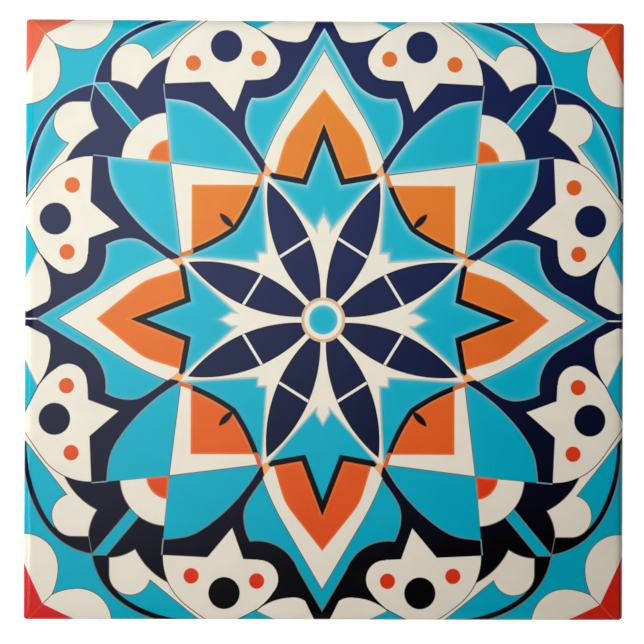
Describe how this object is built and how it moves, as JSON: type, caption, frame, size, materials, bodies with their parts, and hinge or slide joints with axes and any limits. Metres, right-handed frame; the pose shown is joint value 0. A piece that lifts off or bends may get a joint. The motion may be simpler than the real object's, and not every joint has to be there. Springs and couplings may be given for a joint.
{
  "type": "glazed ceramic wall tile",
  "caption": "Square glazed earthenware wall tile with a rolled cushion edge, a patterned glossy face and a keyed back for bonding to a wall.",
  "frame": {"origin": "middle of the bedding face, the back that the tile lies on", "axes": "+Z out of the glazed face, X and Y along the sides of the square"},
  "size_m": [0.108, 0.108, 0.0064],
  "materials": {
    "glazed_earthenware": "glossy"
  },
  "bodies": {
    "root": {"ceramic_tile": "glazed_earthenware"}
  },
  "joints": []
}
